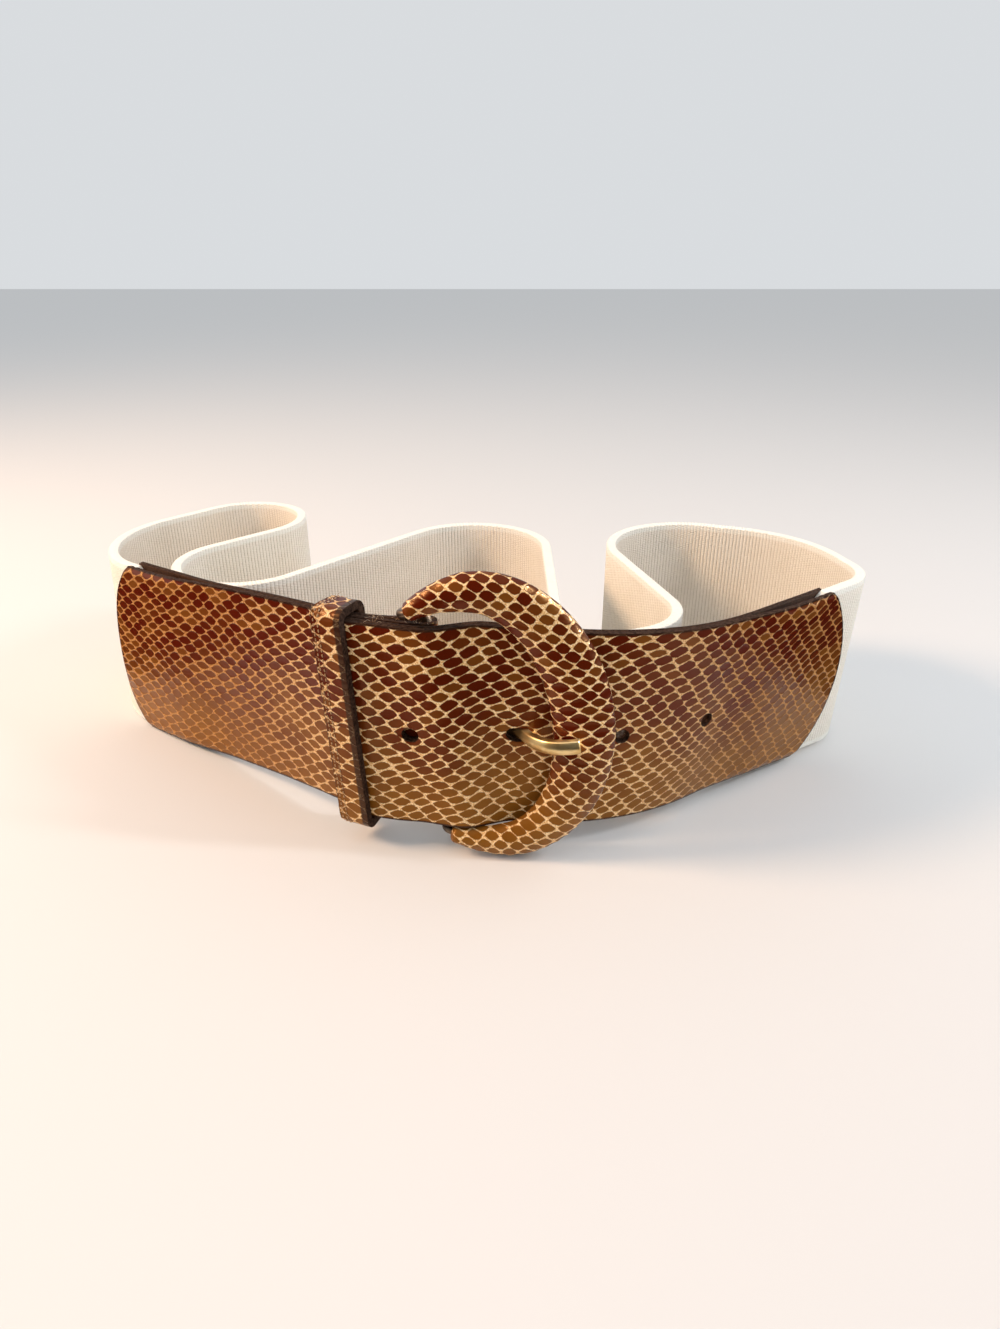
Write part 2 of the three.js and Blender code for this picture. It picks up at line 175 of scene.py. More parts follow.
# %% Driving sizes
webbing_width = 53 * mm
webbing_thickness = 3 * mm
strap_width = 54 * mm
face_thickness = 1.3 * mm
lining_thickness = 1.1 * mm
clearance = 0.3 * mm
seam_overlap = 28 * mm
end_radius = 36 * mm
front_to_bar = 25.6 * mm
tab_reach = 128.4 * mm
strap_reach = 123.6 * mm
tip_reach = 24 * mm
prong_hole_reach = 17.5 * mm
hole_pitch = 25.4 * mm
hole_steps = (-1, 0, 1, 2)
hole_radius = 2 * mm
hole_stretch = 1.4
hole_drop = 1.3 * mm
bar_ramp = 12 * mm
settle_length = 14 * mm
bar_diameter = 2.2 * mm
prong_width = 3 * mm
prong_thickness = 1.7 * mm
print("strap width", strap_width / mm, "mm")

# %% Buckle, keeper and lean
ring_half_width = 22.9 * mm
ring_half_height = 33.6 * mm
horn_sweep = 30.8 * mm
band_wide = 14.8 * mm
band_narrow = 9.3 * mm
horn_tip = 4.6 * mm
horn_angle = math.radians(114)
ring_front = 3.6 * mm
ring_back = 1.8 * mm
ring_roll = math.radians(8.5)
ring_to_bar = 10.5 * mm
bar_setback = 4.2 * mm
strap_drop = 0.9 * mm
keeper_reach = 19.7 * mm
keeper_width = 7.2 * mm
keeper_thickness = 2.2 * mm
keeper_headroom = 0.9 * mm
keeper_ease = 0.5 * mm
keeper_slant = math.radians(3)
keeper_corner = 1.2 * mm
lift_left = (84 * mm, 2.5)
lift_right = (103 * mm, 1.5)
rest_lift = 0.4 * mm
lean_left = 3
lean_right = 8
lean_reach_left = 125 * mm
lean_reach_right = 80 * mm
lean_spread = 44 * mm
print("keeper width", keeper_width / mm, "mm")


# %% Where the crescent stands
def ring_middle(angle):
    """The middle line of the crescent's band and its outward direction"""
    reach = np.where(np.cos(angle) < 0, horn_sweep, ring_half_width)
    point = np.stack([reach * np.cos(angle), ring_half_height * np.sin(angle)], -1)
    outward = np.stack([np.cos(angle) / reach, np.sin(angle) / ring_half_height], -1)
    return point, outward / np.linalg.norm(outward, axis=-1, keepdims=True)


def ring_band(angle):
    """The width of the band, widest opposite the bar and slim at the horns"""
    past = (np.abs(angle) - math.pi / 2) / (horn_angle - math.pi / 2)
    wide = between(band_narrow, band_wide, np.clip(np.cos(angle), 0, 1) ** 1.2)
    return np.where(past > 0, between(band_narrow, horn_tip, past), wide)


def ring_lowest():
    """How far the rolled crescent reaches below its bar's middle"""
    angle = np.linspace(-horn_angle, horn_angle, 400)
    point, outward = ring_middle(angle)
    rim = point + outward * ring_band(angle)[:, None] / 2
    x = rim[:, 0] + ring_to_bar
    return -(rim[:, 1] * math.cos(ring_roll) + x * math.sin(ring_roll)).min()


bar_height = ring_lowest()
print("the bar's middle is", round(bar_height / mm, 2), "mm up")


# %% Places on the belt
def route_at(along):
    """Places and outward normals at distances from the bar, before the model is centred"""
    distance = (along - front_to_bar + route_front) % route_total
    found = [np.interp(distance, route_rows[:, 0], route_rows[:, k]) for k in range(1, 5)]
    return np.stack(found[:2], -1), np.stack(found[2:], -1)


def middle_height(along):
    """The height of the band's middle, which lifts towards the buckle"""
    spread = np.where(along < 0, lift_left[0], lift_right[0])
    power = np.where(along < 0, lift_left[1], lift_right[1])
    lift = bar_height - strap_drop - webbing_width / 2
    fall = np.exp(-((np.abs(along) / spread) ** power))
    return webbing_width / 2 + np.maximum(0, (lift + rest_lift) * fall - rest_lift)


def lean_at(along):
    """The slope at which the band's top leans outwards"""
    right = lean_right * np.exp(-(((along - lean_reach_right) / lean_spread) ** 2))
    left = lean_left * np.exp(-(((along + lean_reach_left) / lean_spread) ** 2))
    return np.tan(np.radians(right - left))


def place_loose(along, out, height):
    point, normal = route_at(along)
    reach = out + lean_at(along) * (height - middle_height(along))
    flat = point + normal * reach[..., None]
    return np.concatenate([flat, height[..., None]], -1)


print("the band's middle is", (middle_height(np.array(0.0)) / mm).round(2), "mm up at the bar")


# %% Centre the belt on its webbing solid
def webbing_spread():
    along = np.linspace(strap_reach - seam_overlap, route_total - tab_reach - seam_overlap, 3000)
    along = np.where(along > route_total / 2, along - route_total, along)
    spots = []
    for side in (-0.5, 0.5):
        for row in (-0.5, 0.5):
            height = middle_height(along) + row * webbing_width
            spots.append(place_loose(along, np.full_like(along, side * webbing_thickness), height))
    spots = np.concatenate(spots)
    return spots.min(0), spots.max(0)


webbing_low, webbing_high = (np.array(corner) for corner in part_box("elastic_webbing"))
loose_low, loose_high = webbing_spread()
centring = (webbing_low + webbing_high - loose_low - loose_high) / 2
centring[2] = 0


def place(along, out, height):
    """Points of the belt: along from the bar, out from the middle of the band, and up"""
    along, out, height = np.broadcast_arrays(along, out, height)
    return place_loose(along, out, height) + centring


bar_spot, bar_normal = route_at(np.array([0.0]))
buckle_frame = (
    Matrix.Translation(Vector((*(bar_spot[0] + centring[:2]), bar_height)))
    @ Matrix.Rotation(math.atan2(bar_normal[0, 0], -bar_normal[0, 1]), 4, "Z")
    @ Matrix.Rotation(-ring_roll, 4, "Y")
    @ Matrix.Translation(Vector((ring_to_bar, -bar_setback, 0)))
)
print("centred by", (centring / mm).round(2), "mm")


# %% [markdown]
# ## Sheets bent into place
# Every strap starts as a flat grid whose two directions are shares from 0 to 1. Holes are cut
# while it is flat, because a round hole is easy to make round there. Then each point is moved to
# its place on the belt, and the flat place is kept as a UV map in metres, so that a pattern in
# the material runs along the leather however it bends.

# %% Flat grid and holes
weld_distance = 0.005 * mm
cut_softness = 0.22 * mm
cut_edge_angle = math.radians(50)


def mesh_from(bm, name):
    mesh = bpy.data.meshes.new(name)
    bm.to_mesh(mesh)
    bm.free()
    return mesh


def flat_grid(columns, rows):
    bm = bmesh.new()
    bmesh.ops.create_grid(bm, x_segments=columns, y_segments=rows, size=0.5)
    bmesh.ops.translate(bm, verts=bm.verts, vec=(0.5, 0.5, 0))
    return bm


def punch(bm, centre, radii, to_flat, to_share):
    """Cuts an oval hole, given in metres on the flat leather, and rounds its rim"""
    def reach(place_on_grid):
        along, up = to_flat(place_on_grid.x, place_on_grid.y)
        return (along - centre[0]) / radii[0], (up - centre[1]) / radii[1]

    cut = [face for face in bm.faces if math.hypot(*reach(face.calc_center_median())) < 1]
    rim = {vert for face in cut for vert in face.verts}
    bmesh.ops.delete(bm, geom=cut, context="FACES")
    for vert in (v for v in rim if v.is_valid):
        a, b = reach(vert.co)
        size = math.hypot(a, b)
        spot = to_share(centre[0] + a / size * radii[0], centre[1] + b / size * radii[1])
        vert.co.x, vert.co.y = spot


print("holes are", 2 * hole_radius / mm, "mm wide")


# %% Bend a sheet into place
def bend_into_place(bm, name, shape, flip=False, closed=False):
    """Moves a flat grid's points by shape(column, row), which gives points, pattern and edge gap"""
    mesh = mesh_from(bm, name)
    shares = np.empty(len(mesh.vertices) * 3, np.float32)
    mesh.vertices.foreach_get("co", shares)
    shares = shares.reshape(-1, 3).astype(float)
    points, pattern, gap = shape(shares[:, 0], shares[:, 1])
    mesh.vertices.foreach_set("co", points.astype(np.float32).ravel())
    corners = np.empty(len(mesh.loops), np.int32)
    mesh.loops.foreach_get("vertex_index", corners)
    layer = mesh.uv_layers.new(name="pattern")
    layer.data.foreach_set("uv", pattern[corners].astype(np.float32).ravel())
    edge = mesh.attributes.new("edge_gap", "FLOAT", "POINT")
    edge.data.foreach_set("value", np.broadcast_to(gap, len(points)).astype(np.float32))
    shaped = bmesh.new()
    shaped.from_mesh(mesh)
    if closed:
        bmesh.ops.remove_doubles(shaped, verts=shaped.verts, dist=weld_distance)
    if flip:
        bmesh.ops.reverse_faces(shaped, faces=shaped.faces)
    for face in shaped.faces:
        face.smooth = True
    shaped.to_mesh(mesh)
    shaped.free()
    return stand(name, mesh)


print("a bent sheet carries its pattern as a UV map")


# %% Walls and finishes
def thicken(piece, thickness, bevel=cut_softness, segments=2):
    """Gives a sheet its wall, inwards from its outer face, and softens its cut edges"""
    wall = piece.modifiers.new("wall", "SOLIDIFY")
    wall.thickness = thickness
    wall.offset = -1
    wall.material_offset_rim = 1
    wall.material_offset = 2
    soft = piece.modifiers.new("soft edges", "BEVEL")
    soft.width = bevel
    soft.segments = segments
    soft.limit_method = "ANGLE"
    soft.angle_limit = cut_edge_angle


def dress(piece, *finishes):
    """A wall takes three finishes, for its outer face, its cut edges and its inside"""
    for finish in finishes:
        piece.data.materials.append(finish)


def settle(piece, slot, *nodes):
    """The piece rides on the one body and stands for its solids, which are hidden; slot is not used
    """
    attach(piece, "root")
    if nodes:
        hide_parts(*nodes)
    print(piece.name, "has", len(piece.data.polygons), "faces before its modifiers")


print("cut edges are softened by", cut_softness / mm, "mm")

# %% [markdown]
# ## Node helpers
# Materials are long to write node by node, so a few small helpers add a node, link what it
# reads and hand back its result. A pattern that stands on its own, or a grain that several
# finishes share, is a node group, built once and placed in each material with its own values.

# %% Node helpers
def add(tree, kind, inputs=None, **settings):
    node = tree.nodes.new(kind)
    for key, value in settings.items():
        setattr(node, key, value)
    for key, value in (inputs or {}).items():
        if isinstance(value, bpy.types.NodeSocket):
            tree.links.new(value, node.inputs[key])
        else:
            node.inputs[key].default_value = value
    return node


def maths(tree, operation, *values):
    return add(tree, "ShaderNodeMath", dict(enumerate(values)), operation=operation).outputs[0]


def plus(tree, first, second):
    return maths(tree, "ADD", first, second)


def times(tree, first, second):
    return maths(tree, "MULTIPLY", first, second)


def blend(tree, factor, first, second):
    node = add(tree, "ShaderNodeMix", {0: factor, 6: first, 7: second}, data_type="RGBA")
    return node.outputs[2]


def ramp(tree, value, low, high, start=0.0, end=1.0):
    node = add(tree, "ShaderNodeMapRange", {0: value, 1: low, 2: high, 3: start, 4: end},
               interpolation_type="SMOOTHSTEP")
    return node.outputs[0]


def noise(tree, vector, scale, detail=2.0):
    node = add(tree, "ShaderNodeTexNoise", {"Vector": vector, "Scale": scale, "Detail": detail})
    return node.outputs[0]


def feed(tree, node, **results):
    """Links results to a node's inputs, whose names have _ here in place of a space"""
    for socket, result in results.items():
        tree.links.new(result, node.inputs[socket.replace("_", " ")])


def bump(tree, strength, depth, height):
    return add(tree, "ShaderNodeBump",
               {"Strength": strength, "Distance": depth, "Height": height}).outputs[0]


print("node helpers ready")

# %% Node groups and materials
number, colour, vector = "NodeSocketFloat", "NodeSocketColor", "NodeSocketVector"


def new_group(name, inputs, outputs):
    """An empty node group with named sockets, what it is given and its output node"""
    tree = bpy.data.node_groups.new(name, "ShaderNodeTree")
    for sockets, side in ((inputs, "INPUT"), (outputs, "OUTPUT")):
        for socket, kind in sockets.items():
            tree.interface.new_socket(socket, in_out=side, socket_type=kind)
    return tree, tree.nodes.new("NodeGroupInput").outputs, tree.nodes.new("NodeGroupOutput")


def use_group(tree, group, inputs):
    return add(tree, "ShaderNodeGroup", inputs, node_tree=group).outputs


def new_material(name, roughness, metallic=0.0, **sockets):
    material = bpy.data.materials.new(name)
    material.use_nodes = True
    shader = material.node_tree.nodes["Principled BSDF"]
    shader.inputs["Roughness"].default_value = roughness
    shader.inputs["Metallic"].default_value = metallic
    for socket, value in sockets.items():
        shader.inputs[socket.replace("_", " ")].default_value = value
    return material, material.node_tree, shader


print("sockets are", number, "and", colour, "and", vector)

# %% [markdown]
# ## Scale pattern
# The leather is pressed with a lizard pattern: eye-shaped plates in staggered rows, with a fine
# raised net between them. A Voronoi texture gives random cells, so two regular lattices, one
# shifted by half a step, are compared instead, and the nearer one wins. A plate's rim is a
# parabola above and below, which gives it its two pointed ends. The same sum is written once
# for the mesh, which is really embossed, and once for the material. There each plate is a little
# larger or smaller than the next, with a frayed rim.

# %% Plate sizes
Hide = namedtuple("Hide", "pitch row slant")
strap_hide = Hide(4.85 * mm, 2.1 * mm, 0.26)
tab_hide = Hide(5.8 * mm, 2.05 * mm, 0.26)
ring_hide = Hide(4.45 * mm, 2.07 * mm, -0.13)
plate_long = 0.445
plate_tall = 0.305
net_height = 0.1 * mm
net_foot = 0.55
net_slope = 0.6


def plate_reach(x, y):
    """0 in the middle of a plate, 1 at its rim and more on the net"""
    def lattice(shift):
        across = ((x + shift) % 1 - 0.5) / plate_long
        return across**2 + np.abs((y + shift) % 1 - 0.5) / plate_tall

    return np.minimum(lattice(0), lattice(0.5))


def emboss(pattern):
    """Height of the pressed leather: the net stands a tenth of a millimetre above the plates"""
    reach = plate_reach(pattern[:, 0], pattern[:, 1])
    return net_height * (ease((reach - net_foot) / net_slope) - 0.5)


print("the net stands", net_height / mm, "mm high")

# %% Lay the pattern on a hide
Wave = namedtuple("Wave", "size along up start")
drift_along = (Wave(0.8 * mm, 53 * mm, 37 * mm, 0), Wave(0.32 * mm, -47 * mm, 13 * mm, 1))
drift_up = (Wave(0.6 * mm, 67 * mm, -61 * mm, 2), Wave(0.2 * mm, 17 * mm, 19 * mm, 0))


def drift(u, v, waves):
    """Sum of slow waves, each with its size, its length along and up, and where it starts"""
    return sum(wave.size * np.sin(turn * (u / wave.along + v / wave.up) + wave.start)
               for wave in waves)


def count_plates(u, v, hide):
    """Counts of plates along and up. A hide is never even, so its rows drift by a millimetre"""
    up = v + drift(u, v, drift_up)
    along = u + drift(u, v, drift_along)
    return np.stack([(along - hide.slant * up) / hide.pitch, up / (2 * hide.row)], -1)


print("strap plates are", strap_hide.pitch / mm, "by", 2 * strap_hide.row / mm, "mm")


# %% Scale pattern group
def build_scale_group():
    tree, given, result = new_group(
        "Scale pattern", {"Plates": vector}, {"Plate": number, "Height": number, "Tone": number})
    x, y, _ = add(tree, "ShaderNodeSeparateXYZ", {0: given["Plates"]}).outputs

    def part(value, shift, half):
        cell = maths(tree, "FRACT", plus(tree, value, shift))
        from_middle = maths(tree, "ABSOLUTE", maths(tree, "SUBTRACT", cell, 0.5))
        return maths(tree, "DIVIDE", from_middle, half)

    first, second = (
        plus(tree, maths(tree, "POWER", part(x, shift, plate_long), 2.0), part(y, shift, plate_tall))
        for shift in (0.0, 0.5)
    )
    other = maths(tree, "GREATER_THAN", first, second)
    half = times(tree, other, 0.5)
    cell = add(tree, "ShaderNodeCombineXYZ", {
        0: maths(tree, "FLOOR", plus(tree, x, half)),
        1: maths(tree, "FLOOR", plus(tree, y, half)),
        2: other,
    })
    tone = add(tree, "ShaderNodeTexWhiteNoise", {"Vector": cell.outputs[0]}).outputs["Value"]
    size = plus(tree, times(tree, tone, 0.26), 0.86)
    frayed = maths(tree, "SUBTRACT", noise(tree, given["Plates"], 5.0), 0.5)
    nearer = maths(tree, "MINIMUM", first, second)
    reach = plus(tree, times(tree, nearer, size), times(tree, frayed, 0.5))
    dome = times(tree, ramp(tree, reach, 1.0, 0.0), 0.4)
    feed(tree, result, Plate=ramp(tree, reach, 1.1, 0.9), Tone=tone,
         Height=plus(tree, ramp(tree, reach, 0.8, 1.2), dome))
    return tree


scale_group = build_scale_group()
print("scale pattern group:", len(scale_group.nodes), "nodes")

# %% [markdown]
# ## Fine grain
# Leather, paint and thread are never quite even: a fine grain shows in their colour and their
# surface, and their gloss wanders slowly. One node group gives all three, and each finish
# places it with its own size, colours and gloss.

# %% Fine grain group
def build_grain_group():
    tree, given, result = new_group(
        "Fine grain",
        {"Place": vector, "Scale": number, "Detail": number, "Dark": colour, "Light": colour,
         "Roughness": number},
        {"Colour": colour, "Roughness": number, "Grain": number})
    grain = noise(tree, given["Place"], given["Scale"], given["Detail"])
    cloudy = noise(tree, given["Place"], maths(tree, "DIVIDE", given["Scale"], 30.0))
    uneven = ramp(tree, cloudy, 0.3, 0.7, maths(tree, "SUBTRACT", given["Roughness"], 0.08),
                  plus(tree, given["Roughness"], 0.08))
    feed(tree, result, Grain=grain, Roughness=plus(tree, uneven, times(tree, grain, 0.06)),
         Colour=blend(tree, ramp(tree, grain, 0.3, 0.7), given["Dark"], given["Light"]))
    return tree


grain_group = build_grain_group()
print("fine grain group:", len(grain_group.nodes), "nodes")

# %% [markdown]
# ## Embossed leather
# The plates are glossy, tan low down and oxblood towards the top, and some are lighter than
# others. Most of that shift is the floor's light in the gloss, and a part of it is painted into
# the plates' colour here as a painted reflection of the floor. The net between them is golden
# tan and a little rougher, and palest round the buckle, where a painted sheen stands for the
# light its ridges catch. The painted cut edges lap over the face.

# %% Colours of the embossed leather
# Low down the plates carry a painted reflection of the pale floor, fading to plain oxblood towards
# the top.
plate_with_painted_reflection = (0.2, 0.072, 0.009, 1)
high_plate = (0.085, 0.006, 0.001, 1)
pale_plate = (0.26, 0.1, 0.014, 1)
net_colours = ((0.26, 0.09, 0.016, 1), (0.62, 0.31, 0.1, 1))
# The paler net colours are a painted sheen, laid round the buckle where the ridges catch more light.
net_painted_sheen_colours = ((0.62, 0.33, 0.11, 1), (0.95, 0.72, 0.42, 1))
lapping_paint = (0.03, 0.011, 0.007, 1)
painted_reflection_fade = (2 * mm, 36 * mm)
painted_reflection_wander = 12 * mm
painted_sheen_middle = 8 * mm
painted_sheen_reach = (74 * mm, 24 * mm)
paint_lap = (0.9 * mm, 0.45 * mm)
print("plates darken from", painted_reflection_fade[0] / mm, "to", painted_reflection_fade[1] / mm, "mm up")


# %% Embossed leather
def embossed_leather():
    material, tree, shader = new_material(
        "embossed leather", 0.3, Coat_Weight=0.1, Coat_Roughness=0.08, Specular_IOR_Level=0.35,
        Specular_Tint=(1.0, 0.5, 0.12, 1))
    laid = add(tree, "ShaderNodeUVMap", uv_map="pattern").outputs[0]
    scales = use_group(tree, scale_group, {"Plates": laid})
    spot = add(tree, "ShaderNodeTexCoord").outputs["Object"]
    across, _, up = add(tree, "ShaderNodeSeparateXYZ", {0: spot}).outputs
    grain = use_group(tree, grain_group, {"Place": spot, "Scale": 2600.0, "Detail": 3.0})["Grain"]
    cloudy = ramp(tree, noise(tree, spot, 45.0, 1.0), 0.38, 0.66)
    # Painted reflection: tan low down, fading to oxblood higher up, with a cloudy edge.
    high = ramp(tree, plus(tree, up, times(tree, cloudy, -painted_reflection_wander)), *painted_reflection_fade)
    pale = times(tree, maths(tree, "POWER", scales["Tone"], 3.0), 0.5)
    plate = blend(tree, pale, blend(tree, high, plate_with_painted_reflection, high_plate), pale_plate)
    # Painted sheen: the net is paler round the buckle.
    from_middle = maths(tree, "ABSOLUTE", plus(tree, across, -painted_sheen_middle))
    painted_sheen = ramp(tree, from_middle, *painted_sheen_reach)
    grains = ramp(tree, grain, 0.35, 0.65)
    net = blend(tree, painted_sheen, blend(tree, grains, *net_colours),
                blend(tree, grains, *net_painted_sheen_colours))
    surface = blend(tree, scales["Plate"], net, plate)
    gap = add(tree, "ShaderNodeAttribute", attribute_name="edge_gap").outputs["Fac"]
    lap = ramp(tree, plus(tree, gap, times(tree, grain, 0.3 * mm)), *paint_lap)
    rough = ramp(tree, scales["Plate"], 0.0, 1.0, 0.42, 0.2)
    height = plus(tree, scales["Height"], times(tree, grain, 0.22))
    pressed = bump(tree, 0.75, 0.12 * mm, height)
    feed(tree, shader, Base_Color=blend(tree, lap, surface, lapping_paint),
         Roughness=plus(tree, rough, times(tree, grain, 0.08)), Normal=pressed, Coat_Normal=pressed)
    return material


scale_leather = embossed_leather()
print("embossed leather:", len(scale_leather.node_tree.nodes), "nodes")


# %% Painted edges and lining
def grained(name, dark, light, roughness, scale, depth, **sockets):
    """A plain finish with a fine grain in its colour, gloss and surface"""
    material, tree, shader = new_material(name, roughness, **sockets)
    spot = add(tree, "ShaderNodeTexCoord").outputs["Object"]
    grain = use_group(tree, grain_group, {"Place": spot, "Scale": scale, "Detail": 4.0,
                                          "Dark": dark, "Light": light, "Roughness": roughness})
    feed(tree, shader, Base_Color=grain["Colour"], Roughness=grain["Roughness"],
         Normal=bump(tree, 0.6, depth, grain["Grain"]))
    return material


edge_paint = grained("painted edge", (0.018, 0.008, 0.005, 1), (0.075, 0.042, 0.028, 1),
                     0.6, 1500.0, 0.1 * mm, Specular_IOR_Level=0.02)
lining_leather = grained("lining leather", (0.055, 0.024, 0.013, 1), (0.11, 0.052, 0.028, 1),
                         0.6, 1800.0, 0.08 * mm, Specular_IOR_Level=0.1)
print("plain leathers:", edge_paint.name, "and", lining_leather.name)

# %% [markdown]
# ## Hole strap
# The strap is a face and a lining. They lie over the tab at the bar, settle back past it and part
# to take the webbing at the right end, which is cut to a shallow arc. They part more gently than
# their solids do, and their long edges draw together over the webbing.

# %% Strap places
seam_ramp = 26 * mm
seam_pinch = 2 * mm
pinched_gap = 0.65
prong_loop_radius = bar_diameter / 2 + clearance + prong_thickness / 2
closed_gap = clearance / 2
webbing_gap = webbing_thickness / 2 + clearance
strap_over_bar = prong_loop_radius + prong_thickness / 2 + clearance + lining_thickness + closed_gap
strap_over_tab = closed_gap + face_thickness + clearance + lining_thickness + closed_gap


def end_fall(up):
    """How far the leather's ends fall back from their middle"""
    return end_radius - np.sqrt(end_radius**2 - up**2)


def seam_gap(along, reach, up):
    """Half the gap between two layers, which draw together over the webbing at their long edges"""
    inside = reach - seam_overlap - clearance - np.abs(along)
    gap = between(webbing_gap, closed_gap, ease(inside / seam_ramp))
    return gap * between(pinched_gap, 1, ease((strap_width / 2 - np.abs(up)) / seam_pinch))


def bar_along(height):
    return -math.tan(ring_roll) * (height - bar_height)


def strap_middle(along, height):
    past = along - bar_along(height)
    over_tab = between(strap_over_tab, strap_over_bar, ease(1 + past / bar_ramp))
    return np.where(past > 0, strap_over_bar * (1 - ease(past / settle_length)), over_tab)


def strap_flat(column, row):
    up = (row - 0.5) * strap_width
    return between(-tip_reach, strap_reach - end_fall(up), column), up


def strap_share(along, up):
    return (along + tip_reach) / (strap_reach - end_fall(up) + tip_reach), up / strap_width + 0.5


def strap_edge(along, up):
    """Distance to the strap's nearest cut edge"""
    to_end = strap_reach - end_fall(up) - along
    return np.minimum(np.minimum(strap_width / 2 - np.abs(up), to_end), along + tip_reach)


print("over the bar the strap lies", round(strap_over_bar / mm, 2), "mm out")


# %% Make the strap
def strap_layer(name, near, thickness, columns, rows, pressed):
    """near is 1 for the face and -1 for the lining"""
    grid = flat_grid(columns, rows)
    for step in hole_steps:
        stretch = hole_stretch if step == 0 else 1
        punch(grid, (prong_hole_reach + step * hole_pitch, -hole_drop),
              (hole_radius * stretch, hole_radius), strap_flat, strap_share)

    def shape(column, row):
        along, up = strap_flat(column, row)
        height = middle_height(along) + up
        pattern = count_plates(along, up, strap_hide)
        relief = emboss(pattern) if pressed else 0
        edge = strap_edge(along, up)
        out = near * (seam_gap(np.maximum(0, along), strap_reach, up) + thickness)
        out = out + relief * ease(edge / mm)
        return place(along, strap_middle(along, height) + out, height), pattern, edge

    piece = bend_into_place(grid, name, shape, flip=near < 0)
    thicken(piece, thickness)
    return piece


strap_face = strap_layer("strap_face", 1, face_thickness, 350, 100, True)
dress(strap_face, scale_leather, edge_paint, lining_leather)
settle(strap_face, "scale_leather", "hole_strap_face")

# %% Make the lining
strap_lining = strap_layer("strap_lining", -1, lining_thickness, 220, 70, False)
dress(strap_lining, lining_leather, edge_paint, lining_leather)
settle(strap_lining, "lining_leather", "hole_strap_lining")

# %% [markdown]
# ## Buckle tab
# The left leather is one strip folded round the bar, with a slot for the prong in the fold. The
# strip is one long grid, whose columns are dense on the front, where the pressed plates show,
# and sparse behind.

# %% Tab places
fold_inside = bar_diameter / 2 + clearance
front_share = 0.82
fold_share = 0.08
back_share = 1 - front_share - fold_share
prong_height = ((middle_height(np.array(prong_hole_reach)) - hole_drop - bar_height
                 - prong_hole_reach * math.sin(ring_roll)) / math.cos(ring_roll))
slot_ease = 0.6 * mm
slot_half = prong_width / 2 + slot_ease
slot_reach = 6 * mm


def tab_gap(along, fold, up):
    near = ease(1 + (along - fold) / bar_ramp)
    return between(seam_gap(along, tab_reach, up), fold_inside, near)


print("the prong's hole is", (prong_height / mm).round(2), "mm up the rolled buckle")


# %% Make the tab
def tab_shape(column, row):
    up = (row - 0.5) * strap_width
    bar_level = middle_height(np.zeros_like(up)) + up
    fold = bar_along(bar_level)
    end = end_fall(up) - tab_reach
    radius = fold_inside + face_thickness
    swing = np.clip((column - front_share) / fold_share, 0, 1) * math.pi
    back = np.clip((column - front_share - fold_share) / back_share, 0, 1)
    front = np.clip(column / front_share, 0, 1)
    on_front = column <= front_share
    along = np.where(on_front, between(end, fold, front), between(fold, end, back))
    in_fold = (swing > 0) & (swing < math.pi)
    strip = np.where(on_front, along, np.where(in_fold, fold + radius * swing,
                                               fold + radius * math.pi + (fold - along)))
    pattern = count_plates(strip, up, tab_hide)
    edge = np.minimum(strap_width / 2 - np.abs(up), np.where(in_fold, 1, along - end))
    relief = emboss(pattern) * ease(edge / mm) * (column < front_share + fold_share)
    out = (tab_gap(along, fold, up) + face_thickness + relief) * np.where(on_front, 1, -1)
    out = np.where(in_fold, (radius + relief) * np.cos(swing), out)
    height = np.where(in_fold, bar_level, middle_height(along) + up)
    along = np.where(in_fold, fold + (radius + relief) * np.sin(swing), along)
    return place(along, out, height), pattern, edge


def make_tab():
    grid = flat_grid(360, 96)
    reach = slot_reach - math.pi * fold_inside / 2
    start = front_share * (1 - reach / tab_reach)
    end = front_share + fold_share + back_share * reach / tab_reach
    level = bar_height + prong_height - middle_height(np.array(0.0))
    slot = [face for face in grid.faces
            if start < face.calc_center_median().x < end
            and abs((face.calc_center_median().y - 0.5) * strap_width - level) < slot_half]
    bmesh.ops.delete(grid, geom=slot, context="FACES")
    piece = bend_into_place(grid, "buckle_tab_leather", tab_shape)
    thicken(piece, face_thickness)
    return piece


buckle_tab = make_tab()
dress(buckle_tab, scale_leather, edge_paint, lining_leather)
settle(buckle_tab, "scale_leather", "buckle_tab")

# %% [markdown]
# ## Keeper
# The keeper is a narrow loop round all the layers, cut from the same leather, with one thick
# painted edge towards the buckle and two rows of stitches along the other. The dark lap of that
# edge is widened on the face, partly edge paint and partly painted shade for the shadow beside
# it. Its path is a box with round corners, walked by its true length so that the plates keep
# their size all the way.

# %% Keeper path
keeper_front = strap_over_tab + closed_gap + face_thickness + keeper_ease
keeper_back = closed_gap + face_thickness + keeper_ease
keeper_half_out = (keeper_front + keeper_back) / 2
keeper_half_up = strap_width / 2 + keeper_headroom


